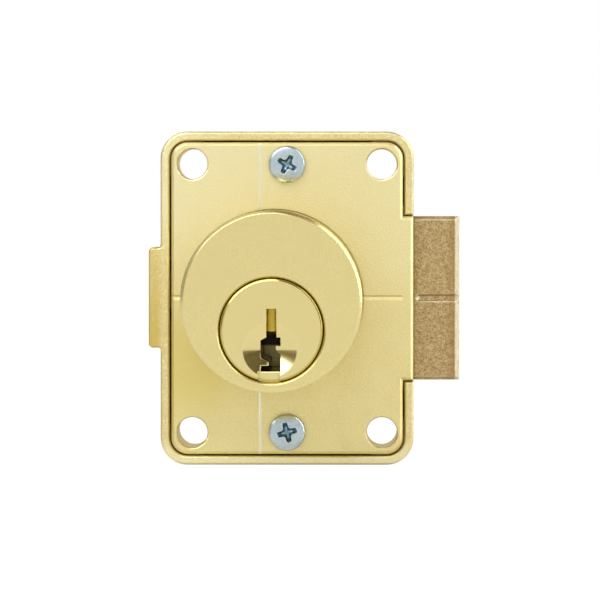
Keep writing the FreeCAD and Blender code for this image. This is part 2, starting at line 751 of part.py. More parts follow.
def make_cam():
    """The cam, in a frame on the plug's axis, with its flank unrolled from the base circle"""
    base = value("cam_base")
    start = value("cam_lead")
    last = start + value("cam_sweep")

    def flank(roll):
        lean = roll - start
        return Vector(base * (math.sin(lean) - roll * math.cos(lean)), 0,
                      base * (math.cos(lean) + roll * math.sin(lean)))

    def spot(radius, lean):
        return Vector(radius * math.sin(lean), 0, radius * math.cos(lean))

    curve = Part.BSplineCurve()
    curve.interpolate([flank(last * step / (FLANK_POINTS - 1)) for step in range(FLANK_POINTS)])
    tip = flank(last)
    tip_radius = value("cam_tip")
    tip_lean = math.atan2(tip.x, tip.z)
    end_lean = tip_lean + value("cam_tip_wide") / tip_radius
    back_lean = end_lean + math.acos(base / tip_radius)
    hub_lean = (back_lean + 2 * math.pi - start) / 2
    tip_end = spot(tip_radius, end_lean)
    back = spot(base, back_lean)
    edges = [
        curve.toShape(),
        Part.Arc(tip, spot(tip_radius, (tip_lean + end_lean) / 2), tip_end).toShape(),
        Part.LineSegment(tip_end, back).toShape(),
        Part.Arc(back, spot(base, hub_lean), flank(0)).toShape(),
    ]
    thick = value("cam_thick")
    plate = Part.Face(Part.Wire(edges)).extrude(Vector(0, thick, 0))
    gap = value("stub_gap")
    hole_radius = value("stub_dia") / 2 + gap
    across = value("stub_flat") / 2 + gap
    hole = Part.makeCylinder(hole_radius, thick, Vector(), Vector(0, 1, 0))
    flats = Part.makeBox(2 * across, thick, 2 * hole_radius, Vector(-across, 0, -hole_radius))
    cam = doc.addObject("Part::Feature", "cam")
    cam.Shape = plate.cut(hole.common(flats))
    cam.Label = "cam"
    cam.setExpression("Placement.Base.y", linked("cam_front"))
    cam.setExpression("Placement.Base.z", linked("0 - plug_drop"))
    finished.append(cam)


def make_latch_bolt():
    body = new_body("latch_bolt")
    bar = rectangle("tail_x", "0 - bolt_half", "nose_x", "bolt_half")
    prism(body, "bar", "bolt_front", "bolt_back", [bar])
    bevel = [("nose_x", "bolt_back"), ("nose_x - bevel_long", "bolt_back"),
             ("nose_x", "bolt_front + bevel_land")]
    prism(body, "bevel", "0 - bolt_half", "bolt_half", [bevel], plane="XY_Plane", cut=True)
    dressed(body, "front_edges", lies_at("Y", value("bolt_front")), "bolt_edge", chamfer=True)
    ears = rectangle("tail_x", "0 - bolt_half - ear_high", "tail_x + ear_long", "bolt_half + ear_high")
    prism(body, "ears", "bolt_front", "bolt_back", [ears])
    window = [
        ("window_left", "window_bottom"), ("window_right", "window_bottom"),
        ("window_right", "window_top"), ("abutment_x", "window_top"),
        ("abutment_x", "abutment_bottom"), ("window_left", "abutment_bottom"),
    ]
    prism(body, "window", "bolt_front", "bolt_back", [window], cut=True)
    groove = rectangle("case_right + groove_start", "0 - groove_wide / 2", "nose_x", "groove_wide / 2")
    prism(body, "groove", "bolt_front", "bolt_front + groove_deep", [groove], cut=True)
    cone_cut(body, "drill_spot", "case_right + groove_start", "bolt_front + spot_deep", "0",
             "0", "spot_dia / 2", "spot_deep")
    prism(body, "pegs", "tail_x - peg_long", "tail_x + tail_wall / 2", plane="YZ_Plane",
          discs=[(("bolt_middle", f"0 {sign} spring_rise"), "peg_dia") for sign in "-+"])


def make_bolt_spring(name, sign):
    """A compression spring from the bulge's pocket to the bolt's tail"""
    room = value("tail_x") - value("pocket_left") - 2 * value("spring_gap")
    spring = doc.addObject("Part::Feature", name)
    spring.Shape = coil(value("spring_dia"), value("spring_wire"), room, value("spring_turns"))
    spring.Label = name
    spring.Placement = Placement(Vector(), Rotation(Vector(0, 1, 0), 90))
    for letter, text in (("x", "pocket_left + spring_gap"), ("y", "bolt_middle"),
                         ("z", f"0 {sign} spring_rise")):
        spring.setExpression("Placement.Base." + letter, linked(text))
    finished.append(spring)


def make_screws():
    axis = Vector(0, 1, 0)
    upper = (axis, value("upper_recess_turn"))
    lower = (axis, value("lower_recess_turn"))
    pan_screw("cover_screw_upper", "screw_long", upper, x="case_shift", z="screw_z")
    pan_screw("cover_screw_lower", "screw_long", lower, x="case_shift", z="0 - screw_z")
    pan_screw("cam_screw", "cam_screw_long - thread_gap", (Vector(0, 0, 1), 180.0),
              y="cam_front + cam_thick", z="0 - plug_drop")
    flush_screw("cylinder_screw_left", "0 - flush_side")
    flush_screw("cylinder_screw_right", "flush_side")


def check_document():
    """Stops if any object failed or any finished shape is empty or not valid"""
    doc.recompute()
    for item in doc.Objects:
        if "Invalid" in item.State or "Error" in item.State:
            raise RuntimeError(f"{item.Label} is {item.State}")
    for piece in finished:
        shape = piece.Shape
        if shape.isNull() or not shape.isValid() or len(shape.Solids) != 1:
            raise RuntimeError(f"{piece.Label} has no single valid solid")


def export_parts():
    os.makedirs("parts", exist_ok=True)
    for piece in finished:
        piece.Shape.exportStep(os.path.join("parts", piece.Label + ".step"))
        box = piece.Shape.BoundBox
        print(f"{piece.Label:22s} {piece.Shape.Volume:9.1f} mm3  X {box.XMin:7.2f} {box.XMax:7.2f}"
              f"  Y {box.YMin:7.2f} {box.YMax:7.2f}  Z {box.ZMin:7.2f} {box.ZMax:7.2f}")


make_case()
make_cover_plate()
make_cylinder_shell()
make_spring_cover()
make_plug()
for number in range(1, int(value("pin_count")) + 1):
    make_pin_stack(number)
make_cam()
make_latch_bolt()
make_bolt_spring("bolt_spring_upper", "+")
make_bolt_spring("bolt_spring_lower", "-")
make_screws()
check_document()
export_parts()
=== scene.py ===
import json
import math

import bmesh
import bpy
from mathutils import Matrix, Vector


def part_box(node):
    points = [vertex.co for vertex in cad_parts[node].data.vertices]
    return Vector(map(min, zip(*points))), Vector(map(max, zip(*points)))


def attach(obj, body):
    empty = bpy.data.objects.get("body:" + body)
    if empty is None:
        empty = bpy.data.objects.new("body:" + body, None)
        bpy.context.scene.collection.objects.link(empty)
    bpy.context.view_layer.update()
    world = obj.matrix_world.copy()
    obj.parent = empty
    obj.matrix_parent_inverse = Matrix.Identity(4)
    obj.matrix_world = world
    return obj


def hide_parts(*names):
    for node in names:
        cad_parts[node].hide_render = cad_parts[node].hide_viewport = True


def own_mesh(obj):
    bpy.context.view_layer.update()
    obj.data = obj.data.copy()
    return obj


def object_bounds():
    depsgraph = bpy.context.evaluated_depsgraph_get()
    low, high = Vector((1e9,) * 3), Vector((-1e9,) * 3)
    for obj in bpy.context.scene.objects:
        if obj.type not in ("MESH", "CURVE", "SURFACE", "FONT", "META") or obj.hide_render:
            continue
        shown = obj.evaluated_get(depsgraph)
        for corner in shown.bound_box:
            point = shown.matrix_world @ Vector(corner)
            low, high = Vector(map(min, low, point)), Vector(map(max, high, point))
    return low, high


# A brass door latch lock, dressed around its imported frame. Everything is in metres.
# X points towards the latch bolt, Y into the cabinet and Z up; the keyhole faces -Y.
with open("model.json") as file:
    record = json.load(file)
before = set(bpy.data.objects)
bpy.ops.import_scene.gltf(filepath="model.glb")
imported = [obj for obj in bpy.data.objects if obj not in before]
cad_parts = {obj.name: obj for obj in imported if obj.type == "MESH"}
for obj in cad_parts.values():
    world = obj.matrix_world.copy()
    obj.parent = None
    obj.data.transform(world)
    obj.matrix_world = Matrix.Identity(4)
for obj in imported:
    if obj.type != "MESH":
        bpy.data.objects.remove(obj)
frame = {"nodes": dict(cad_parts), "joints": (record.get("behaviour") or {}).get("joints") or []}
cad_low, cad_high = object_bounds()

MM = 0.001
JOINTS = {joint["name"]: joint for joint in frame["joints"]}

# Camera, as the photograph's 600 pixel wide view gives it
VIEW_PIXELS = 600
PIXELS_PER_RADIAN = 5330.0
CAMERA_PLACE = Vector((12.8, -764.0, 14.3)) * MM
CAMERA_AIM = Vector((3.71, 0.0, -0.24)) * MM
SENSOR_WIDTH = 36.0
CLIP_START = 0.05
CLIP_END = 20.0

# Places on the pieces that their colours follow
PLUG_CENTRE = JOINTS["plug_turn"]["pos_m"]
PLUG_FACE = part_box("plug")[0].y
PIN_TIPS = -5.2 * MM
BOLT_SPOT = (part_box("case")[1].x + 0.6 * MM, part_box("latch_bolt")[0].y + 0.15 * MM, 0.0)
BOLT_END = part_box("latch_bolt")[1].x
BOLT_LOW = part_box("latch_bolt")[0].z

# The middle of the painted shade low on the plate's left
LOW_PATCH = (-12.5 * MM, 0.0, -9.5 * MM)

# Lines of painted highlight and shade on the plate and in the bolt's groove: the middle and half the width
# of each
SCORE_UPRIGHT = (-2.0 * MM, 0.21 * MM)
SCORE_LEVEL = (-0.08 * MM, 0.3 * MM)
SCORE_SHADE = (0.36 * MM, 0.09 * MM)
GROOVE_TOP = (0.42 * MM, 0.13 * MM)

# Colours, as linear red, green and blue
BRASS = (0.80, 0.68, 0.30, 1)
# A paler brass for painted light, and a deeper one for painted shade
PAINTED_LIGHT_BRASS = (0.92, 0.84, 0.50, 1)
PAINTED_SHADE_BRASS = (0.76, 0.63, 0.20, 1)
BRASS_EDGE = (0.86, 0.72, 0.32, 1)
BRASS_WORN = (0.93, 0.85, 0.56, 1)
PLATE_BRASS = (0.87, 0.765, 0.37, 1)
PLATE_DEEP = (0.76, 0.635, 0.28, 1)
CAST_BRASS = (0.86, 0.765, 0.43, 1)
CAST_DEEP = (0.70, 0.56, 0.22, 1)
# Painted shade for the case's bulge
BULGE_SHADE_BRASS = (0.67, 0.52, 0.14, 1)
PIN_BRASS = (0.98, 0.84, 0.28, 1)
PIN_DEEP = (0.74, 0.58, 0.13, 1)
# Deep gold for painted reflections on the plug's rim and in the shell's bore
PAINTED_RIM_REFLECTION = (0.50, 0.38, 0.07, 1)
# A near white for painted highlights, and a brown for painted shade
PAINTED_HIGHLIGHT = (1.0, 0.97, 0.74, 1)
PAINTED_SHADE_BROWN = (0.42, 0.32, 0.09, 1)
# Painted shade for deep places, and darker still in the keyway
HOLLOW_SHADE = (0.06, 0.042, 0.010, 1)
KEYWAY_SHADE = (0.006, 0.004, 0.001, 1)
BRONZE_LIGHT = (0.70, 0.53, 0.26, 1)
BRONZE_DARK = (0.24, 0.15, 0.06, 1)
BRONZE_RED = (0.30, 0.17, 0.06, 1)
BRONZE_WORN = (0.97, 0.90, 0.72, 1)
ZINC = (0.62, 0.68, 0.70, 1)
ZINC_BLUE = (0.40, 0.52, 0.60, 1)
ZINC_WORN = (0.85, 0.88, 0.90, 1)
# Teal for the screws' corners: grime and painted shade
TEAL_SOIL_AND_SHADE = (0.07, 0.22, 0.29, 1)
STEEL = (0.56, 0.57, 0.58, 1)
STEEL_DARK = (0.20, 0.20, 0.21, 1)
SPRING_STEEL = (0.66, 0.66, 0.68, 1)
FLOOR_GREY = (0.85, 0.85, 0.84, 1)
WHITE = (1, 1, 1, 1)

# Edges, corners and hollows: where each starts and where it is full, by how far the plain and the
# rounded normal agree or by how open the air is, and how many rays find that out
EDGE_BEND = (1.0, 0.9)
EDGE_AIR = (0.75, 0.98)
CORNER_AIR = (0.85, 0.2)
HOLLOW_AIR = (0.4, 0.08)
HOLLOW_REACH = 6.0 * MM
SHADER_RAYS = 6

# Spans of noise: from least to most rubbing of an edge, with the least share, and from deep to main
RUBBING = (0.25, 0.55, 0.35)
RUBBING_SCALE = 900.0
TONE_SPAN = (0.32, 0.68)

# Turning rings: how fine they are, their share of the relief, and how far and how fast they waver
RING_SCALE = 9000.0
RING_SHARE = 0.6
RING_WAVER = 0.04 * MM
RING_WAVER_SCALE = 400.0

# What corner grime and painted shade keep of the deep tone, what wear keeps of the roughness, and the
# lacquer's roughness
SOIL_SHADE = 0.25
WORN_ROUGHNESS = 0.6
COAT_ROUGHNESS = 0.2


def put(tree, kind, feeds=(), **settings):
    """A node with its settings, fed by pairs of an input and a value or another node's output"""
    node = tree.nodes.new(kind)
    for name, setting in settings.items():
        setattr(node, name, setting)
    for name, source in feeds:
        if isinstance(source, bpy.types.NodeSocket):
            tree.links.new(source, node.inputs[name])
        else:
            node.inputs[name].default_value = source
    return node


def reckon(tree, operation, *values):
    """A step of arithmetic on numbers"""
    return put(tree, "ShaderNodeMath", enumerate(values), operation=operation).outputs[0]


def times(tree, *factors):
    """The product of some numbers"""
    product = factors[0]
    for factor in factors[1:]:
        product = reckon(tree, "MULTIPLY", product, factor)
    return product


def near(tree, source, middle, half):
    """1 where a number is within half of a middle, and 0 elsewhere"""
    return reckon(tree, "COMPARE", source, middle, half)


def combine(tree, operation, *vectors):
    """A step of arithmetic on vectors that gives a vector"""
    return put(tree, "ShaderNodeVectorMath", enumerate(vectors), operation=operation).outputs["Vector"]


def measure(tree, operation, *vectors):
    """A step of arithmetic on vectors that gives a number"""
    return put(tree, "ShaderNodeVectorMath", enumerate(vectors), operation=operation).outputs["Value"]


def ramp(tree, source, low, high, to_low=0.0, to_high=1.0, course="LINEAR"):
    """A number carried from one span to another, and held at its ends"""
    return put(tree, "ShaderNodeMapRange", [("Value", source), ("From Min", low), ("From Max", high),
                                            ("To Min", to_low), ("To Max", to_high)],
               interpolation_type=course).outputs["Result"]


def soft_ramp(tree, source, low, high, to_low=0.0, to_high=1.0):
    """A ramp that eases out of one end and into the other"""
    return ramp(tree, source, low, high, to_low, to_high, "SMOOTHSTEP")


def between(tree, share, first, second):
    """Two numbers mixed by a share"""
    return put(tree, "ShaderNodeMix", [(0, share), (2, first), (3, second)],
               data_type="FLOAT").outputs[0]


def blended(tree, share, first, second, kind="MIX"):
    """Two colours mixed by a share"""
    return put(tree, "ShaderNodeMix", [(0, share), (6, first), (7, second)],
               data_type="RGBA", blend_type=kind).outputs[2]


def painted(tree, base, colour, *shares):
    """A base colour covered with another, as far as the product of the shares"""
    return blended(tree, times(tree, *shares), base, colour)


def own_place(tree):
    """The shaded spot's place in the piece's own coordinates"""
    return put(tree, "ShaderNodeTexCoord").outputs["Object"]


def parts_of(tree, place):
    """A place's X, Y and Z"""
    return put(tree, "ShaderNodeSeparateXYZ", [("Vector", place)]).outputs


def noise(tree, place, scale, detail=2.0, roughness=0.5, distortion=0.0):
    """Noise around 0.5, with its scale in waves to the metre"""
    return put(tree, "ShaderNodeTexNoise", [
        ("Vector", place), ("Scale", scale), ("Detail", detail), ("Roughness", roughness),
        ("Distortion", distortion),
    ]).outputs["Fac"]


def wavering(tree, source, swing, waves):
    """A number that noise shifts by up to a swing, so that no border drawn by it is straight"""
    return reckon(tree, "MULTIPLY_ADD", waves, swing, source)


def openness(tree, reach):
    """How much of the air within a reach of a surface is open"""
    return put(tree, "ShaderNodeAmbientOcclusion", [("Distance", reach)],
               samples=SHADER_RAYS).outputs["AO"]


def new_group(name, inputs, outputs):
    """An empty shader group with named float or vector sockets"""
    tree = bpy.data.node_groups.new(name, "ShaderNodeTree")
    for label, kind, default in inputs:
        socket = tree.interface.new_socket(label, in_out="INPUT", socket_type="NodeSocket" + kind)
        socket.default_value = default
    for label, kind in outputs:
        tree.interface.new_socket(label, in_out="OUTPUT", socket_type="NodeSocket" + kind)
    entry = tree.nodes.new("NodeGroupInput")
    result = tree.nodes.new("NodeGroupOutput")
    return tree, entry.outputs, result.inputs


def give(tree, result, **sources):
    """Links a group's outputs to their sources"""
    for name, source in sources.items():
        tree.links.new(source, result[name])


def grouped(tree, group, **values):
    """A group set into a tree, with some of its inputs set, named with _ for each space"""
    node = tree.nodes.new("ShaderNodeGroup")
    node.node_tree = group
    for name, setting in values.items():
        node.inputs[name.replace("_", " ")].default_value = setting
    return node


def make_edge_group():
    """Where a surface bends outwards, bends inwards or lies deep: edges, corners and hollows"""
    tree, given, result = new_group("edges_and_corners", [
        ("Reach", "Float", 0.3 * MM), ("Corner Reach", "Float", 1.2 * MM),
    ], [("Edge", "Float"), ("Corner", "Float"), ("Hollow", "Float"), ("Normal", "Vector")])
    rounded = put(tree, "ShaderNodeBevel", [("Radius", given["Reach"])],
                  samples=SHADER_RAYS).outputs["Normal"]
    plain = put(tree, "ShaderNodeNewGeometry").outputs["Normal"]
    bend = ramp(tree, measure(tree, "DOT_PRODUCT", rounded, plain), *EDGE_BEND)
    open_air = openness(tree, given["Corner Reach"])
    convex = ramp(tree, open_air, *EDGE_AIR)
    rubbed = ramp(tree, noise(tree, own_place(tree), RUBBING_SCALE, detail=4.0), *RUBBING)
    give(tree, result, Edge=times(tree, bend, convex, rubbed), Corner=ramp(tree, open_air, *CORNER_AIR),
         Hollow=ramp(tree, openness(tree, HOLLOW_REACH), *HOLLOW_AIR), Normal=rounded)
    return tree


def make_speckle_group():
    """Fine grain on broad clouds: how a blasted or tumbled metal face varies"""
    tree, given, result = new_group("speckle", [
        ("Grain Scale", "Float", 5000.0), ("Cloud Scale", "Float", 250.0), ("Cloud Share", "Float", 0.5),
    ], [("Mix", "Float"), ("Grain", "Float")])
    place = own_place(tree)
    grain = noise(tree, place, given["Grain Scale"], detail=3.0, roughness=0.65)
    cloud = noise(tree, place, given["Cloud Scale"], detail=4.0, distortion=0.4)
    mixed = between(tree, given["Cloud Share"], grain, cloud)
    give(tree, result, Mix=ramp(tree, mixed, *TONE_SPAN), Grain=grain)
    return tree


def make_lathe_group():
    """Fine turning rings about an axis along Y through a centre"""
    tree, given, result = new_group("turning_rings", [
        ("Centre", "Vector", (0, 0, 0)),
    ], [("Height", "Float")])
    place = own_place(tree)
    from_centre = combine(tree, "SUBTRACT", place, given["Centre"])
    radius = measure(tree, "LENGTH", combine(tree, "MULTIPLY", from_centre, (1, 0, 1)))
    unsteady = wavering(tree, radius, RING_WAVER, noise(tree, place, RING_WAVER_SCALE))
    along = put(tree, "ShaderNodeCombineXYZ", [("X", unsteady)]).outputs[0]
    give(tree, result, Height=noise(tree, along, RING_SCALE))
    return tree


EDGES = make_edge_group()
SPECKLE = make_speckle_group()
RINGS = make_lathe_group()


def new_metal(name, roughness, coat, edge_tint):
    """A material with a metallic Principled shader whose plain values are set on its own sockets"""
    material = bpy.data.materials.new(name)
    material.use_nodes = True
    shader = material.node_tree.nodes["Principled BSDF"]
    shader.inputs["Metallic"].default_value = 1.0
    shader.inputs["Roughness"].default_value = roughness
    shader.inputs["Coat Weight"].default_value = coat
    shader.inputs["Coat Roughness"].default_value = COAT_ROUGHNESS
    shader.inputs["Specular Tint"].default_value = edge_tint
    return material, material.node_tree, shader


def metal(name, tones, roughness, grain, cloud=250.0, cloud_share=0.25, bump=0.3, bump_depth=0.02 * MM,
          reach=0.2 * MM, corner=1.2 * MM, wear=0.4, dirt_and_shade=0.5, hollow_shade=0.0, coat=0.0, rough_swing=0.1,
          rings=None, soil_and_shade=None, overlay=None, marks=None, edge_tint=WHITE):
    """A metal with a main, a deep and a worn tone, and noise at the scales of its grain and clouds

    Edges within reach are worn, corners get grime and painted shade, and deep places painted shade,
    as far as the settings say. Rings are turned about a centre. An overlay paints the metal's colour,
    light and shade under these, and marks paint colour, light and shade over them.
    """
    main, deep, worn = tones
    material, tree, shader = new_metal(name, roughness, coat, edge_tint)
    speckle = grouped(tree, SPECKLE, Grain_Scale=grain, Cloud_Scale=cloud, Cloud_Share=cloud_share).outputs
    edges = grouped(tree, EDGES, Reach=reach, Corner_Reach=corner).outputs

    colour = blended(tree, speckle["Mix"], deep, main)
    if overlay:
        colour = overlay(tree, colour)
    # Corners are darkened: grime and painted shade
    dark = soil_and_shade or tuple(SOIL_SHADE * channel for channel in deep[:3]) + (1,)
    colour = painted(tree, colour, dark, edges["Corner"], dirt_and_shade)
    worn_share = times(tree, edges["Edge"], wear)
    colour = painted(tree, colour, worn, worn_share)
    # Deep places get painted shade
    if hollow_shade:
        colour = painted(tree, colour, HOLLOW_SHADE, edges["Hollow"], hollow_shade)
    if marks:
        colour = marks(tree, colour)
    tree.links.new(colour, shader.inputs["Base Color"])

    dull = ramp(tree, speckle["Mix"], 0.0, 1.0, roughness + rough_swing / 2, roughness - rough_swing / 2)
    tree.links.new(between(tree, worn_share, dull, roughness * WORN_ROUGHNESS), shader.inputs["Roughness"])

    height = speckle["Grain"]
    if rings:
        turned = grouped(tree, RINGS, Centre=rings).outputs
        height = between(tree, RING_SHARE, height, turned["Height"])
    relief = put(tree, "ShaderNodeBump", [("Height", height), ("Strength", bump),
                                          ("Distance", bump_depth), ("Normal", edges["Normal"])])
    tree.links.new(relief.outputs["Normal"], shader.inputs["Normal"])
    return material


def plate_overlay(tree, body):
    """The plate with painted light and shade: a sheen above, shade low on the left and by its left edge,
    and scored lines
    """
    place = own_place(tree)
    parts = parts_of(tree, place)
    height = wavering(tree, parts["Z"], 12 * MM, noise(tree, place, 110.0))
    # Painted light: a paler sheen above and to the left
    above = soft_ramp(tree, height, -4 * MM, 20 * MM, 0.0, 0.68)
    leftward = soft_ramp(tree, parts["X"], 12 * MM, -14 * MM, 0.6, 1.0)
    body = painted(tree, body, PAINTED_LIGHT_BRASS, above, leftward)
    # Painted shade, deepest low on the left
    apart = measure(tree, "DISTANCE", place, LOW_PATCH)
    body = painted(tree, body, PAINTED_SHADE_BRASS, soft_ramp(tree, apart, 11 * MM, 2 * MM, 0.0, 0.8))
    # Painted shadow of the case's rim along the plate's left edge, lower down
    left_edge = soft_ramp(tree, parts["X"], -14.6 * MM, -15.8 * MM)
    not_above = soft_ramp(tree, height, 12 * MM, 0.0)
    body = painted(tree, body, PAINTED_SHADE_BROWN, left_edge, not_above, 0.7)

    # Painted shade along the level scored line, darkest just above it
    front = soft_ramp(tree, parts["Y"], 0.4 * MM, 0.2 * MM)
    level_end = soft_ramp(tree, parts["X"], 18.4 * MM, 18.2 * MM)
    on_line = times(tree, front, level_end)
    body = painted(tree, body, PAINTED_SHADE_BROWN, near(tree, parts["Z"], *SCORE_LEVEL), on_line, 0.16)
    body = painted(tree, body, PAINTED_SHADE_BROWN, near(tree, parts["Z"], *SCORE_SHADE), on_line, 0.6)
    # Painted highlight along the upright scored line
    return painted(tree, body, PAINTED_HIGHLIGHT, near(tree, parts["X"], *SCORE_UPRIGHT), front)


def case_overlay(tree, body):
    """The cast case with painted light at the top left and the bottom, and painted shade on the bulge,
    most of all low
    """
    place = own_place(tree)
    parts = parts_of(tree, place)
    height = wavering(tree, parts["Z"], 8 * MM, noise(tree, place, 420.0, detail=4.0))
    # Painted light at the top left
    top = soft_ramp(tree, height, 4 * MM, 20 * MM, 0.0, 0.7)
    leftward = soft_ramp(tree, parts["X"], -4 * MM, -16 * MM)
    body = painted(tree, body, PAINTED_LIGHT_BRASS, top, leftward)
    # Painted light at the bottom
    bottom = soft_ramp(tree, parts["Z"], -20 * MM, -22.2 * MM, 0.0, 0.7)
    body = painted(tree, body, PAINTED_LIGHT_BRASS, bottom)
    # Painted shade on the bulge, most of all low
    bulge = soft_ramp(tree, parts["X"], -15.8 * MM, -17 * MM)
    lower = soft_ramp(tree, height, 9 * MM, -1 * MM, 0.55, 1.0)
    return painted(tree, body, BULGE_SHADE_BRASS, bulge, lower)


def from_plug_axis(tree, place):
    """How far a place is from the plug's axis"""
    flat = combine(tree, "MULTIPLY", place, (1, 0, 1))
    return measure(tree, "DISTANCE", flat, (PLUG_CENTRE[0], 0.0, PLUG_CENTRE[2]))


def behind_plug_face(tree, parts):
    """0 at the plug's face and 1 just behind it"""
    return soft_ramp(tree, parts["Y"], PLUG_FACE + 0.2 * MM, PLUG_FACE + 0.4 * MM)


def plug_overlay(tree, body):
    """The plug's rounded rim, with a painted reflection in deep gold"""
    # Painted reflection: a deep gold band on the rounded rim
    radius = from_plug_axis(tree, own_place(tree))
    return painted(tree, body, PAINTED_RIM_REFLECTION, soft_ramp(tree, radius, 6.75 * MM, 7 * MM, 0.0, 0.75))


def shell_marks(tree, colour):
    """The shell's bore just behind its face: a painted reflection in deep gold around the plug"""
    place = own_place(tree)
    # Painted reflection in deep gold on the bore, over the painted shade of deep places
    bore = soft_ramp(tree, from_plug_axis(tree, place), 7.5 * MM, 7.4 * MM)
    return painted(tree, colour, PAINTED_RIM_REFLECTION, bore, behind_plug_face(tree, parts_of(tree, place)), 0.8)


def keyway_marks(tree, colour):
    """The keyway behind the plug's face: walls beside the pins painted in lit pin brass, and painted
    shade, blackest under them
    """
    parts = parts_of(tree, own_place(tree))
    # Painted light: the walls beside the pins take the pins' brass
    in_slot = near(tree, parts["X"], PLUG_CENTRE[0], 0.7 * MM)
    beside_pins = soft_ramp(tree, parts["Z"], PIN_TIPS - 0.1 * MM, PIN_TIPS + 0.1 * MM)
    colour = painted(tree, colour, PIN_BRASS, in_slot, beside_pins, behind_plug_face(tree, parts))
    # Painted shade deep in the keyway, blackest just under the pins
    deep = soft_ramp(tree, parts["Y"], PLUG_FACE + 1.5 * MM, PLUG_FACE + 4 * MM)
    blackest = soft_ramp(tree, parts["Z"], PIN_TIPS - 1.7 * MM, PIN_TIPS - 1.4 * MM, 0.4, 1.0)
    below_pins = soft_ramp(tree, parts["Z"], PIN_TIPS + 0.1 * MM, PIN_TIPS - 0.1 * MM)
    return painted(tree, colour, KEYWAY_SHADE, deep, blackest, below_pins)


def bolt_marks(tree, colour):
    """A paler end, redder metal before it, painted shade lowest down and in the groove, and a painted
    highlight for a drill's spot
    """
    place = own_place(tree)
    parts = parts_of(tree, place)
    before_end = soft_ramp(tree, parts["X"], BOLT_END - 0.62 * MM, BOLT_END - 0.72 * MM)
    at_end = soft_ramp(tree, before_end, 1.0, 0.0, 0.0, 0.4)
    colour = painted(tree, colour, BRONZE_WORN, at_end)
    reddish = soft_ramp(tree, parts["X"], BOLT_END - 2 * MM, BOLT_END - 0.8 * MM, 0.0, 0.45)
    colour = painted(tree, colour, BRONZE_RED, reddish, before_end)
    # Painted shade lowest down
    lowest = soft_ramp(tree, parts["Z"], BOLT_LOW + 0.7 * MM, BOLT_LOW + 0.4 * MM, 0.0, 0.5)
    colour = painted(tree, colour, BRONZE_RED, lowest, before_end)
    # Painted shade along the groove's top
    outside = soft_ramp(tree, parts["X"], BOLT_SPOT[0], BOLT_SPOT[0] + 0.4 * MM)
    groove = times(tree, near(tree, parts["Z"], *GROOVE_TOP), times(tree, outside, before_end))
    colour = painted(tree, colour, BRONZE_RED, groove, 0.75)
    # Painted highlight for a drill's spot
    apart = measure(tree, "DISTANCE", place, BOLT_SPOT)
    return painted(tree, colour, PAINTED_HIGHLIGHT, soft_ramp(tree, apart, 0.34 * MM, 0.22 * MM))


METALS = {
    "satin_brass": dict(tones=(PLATE_BRASS, PLATE_DEEP, BRASS_WORN), roughness=0.36, grain=3600.0,
                        bump=1.0, bump_depth=0.05 * MM, reach=0.12 * MM, corner=0.8 * MM, coat=0.3,
                        dirt_and_shade=0.3, wear=0.15, overlay=plate_overlay, edge_tint=BRASS_EDGE),
    "cast_brass": dict(tones=(CAST_BRASS, CAST_DEEP, BRASS_WORN), roughness=0.38, grain=2900.0,
                       bump=1.0, bump_depth=0.09 * MM, corner=0.6 * MM, coat=0.2, dirt_and_shade=0.35,
                       overlay=case_overlay, edge_tint=BRASS_EDGE),
    "turned_brass": dict(tones=(BRASS, BRASS, BRASS_WORN), roughness=0.26, grain=9000.0, bump=0.06,
                         coat=0.3, rings=(0.0, 0.0, 0.0), dirt_and_shade=0.3, hollow_shade=0.9, marks=shell_marks,
                         edge_tint=BRASS_EDGE),
    "plug_brass": dict(tones=(BRASS, BRASS, BRASS_WORN), roughness=0.17, grain=9000.0, bump=0.06,
                       coat=0.2, rings=tuple(PLUG_CENTRE), dirt_and_shade=0.3, hollow_shade=0.97,
                       overlay=plug_overlay, marks=keyway_marks, edge_tint=BRASS_EDGE),
    "pin_brass": dict(tones=(PIN_BRASS, PIN_DEEP, BRASS_WORN), roughness=0.45, grain=5000.0, dirt_and_shade=0.0,
                      edge_tint=BRASS_EDGE),
    "sintered_bronze": dict(tones=(BRONZE_LIGHT, BRONZE_DARK, BRONZE_WORN), roughness=0.42,
                            grain=4600.0, cloud=1500.0, bump=1.0, bump_depth=0.06 * MM,
                            corner=0.6 * MM, rough_swing=0.2, wear=0.8, dirt_and_shade=1.0, marks=bolt_marks,
                            edge_tint=BRASS_EDGE),
    "zinc_plate": dict(tones=(ZINC, ZINC_BLUE, ZINC_WORN), roughness=0.3, grain=3000.0, cloud=700.0,
                       bump=0.4, bump_depth=0.03 * MM, dirt_and_shade=1.1, soil_and_shade=TEAL_SOIL_AND_SHADE),
    "cam_steel": dict(tones=(STEEL, STEEL_DARK, ZINC_WORN), roughness=0.35, grain=3000.0, bump=0.5),
    "spring_steel": dict(tones=(SPRING_STEEL, STEEL_DARK, WHITE), roughness=0.25, grain=6000.0, bump=0.2),
}
MATERIALS = {name: metal(name, **settings) for name, settings in METALS.items()}

# The first entry that a node's name starts with gives its finish
NODE_FINISH = {
    "case": "cast_brass", "cover_plate": "satin_brass", "cylinder_shell": "turned_brass",
    "spring_cover": "turned_brass", "plug": "plug_brass", "key_pin": "pin_brass",
    "driver_pin": "pin_brass", "latch_bolt": "sintered_bronze", "pin_spring": "spring_steel",
    "bolt_spring": "spring_steel", "cover_screw": "zinc_plate", "cylinder_screw": "zinc_plate",
    "cam_screw": "zinc_plate", "cam": "cam_steel",
}


def dress_frame():
    """Gives every node of the frame its finish"""
    for name, item in frame["nodes"].items():
        finish = next(finish for start, finish in NODE_FINISH.items() if name.startswith(start))
        item.data.materials.clear()
        item.data.materials.append(MATERIALS[finish])


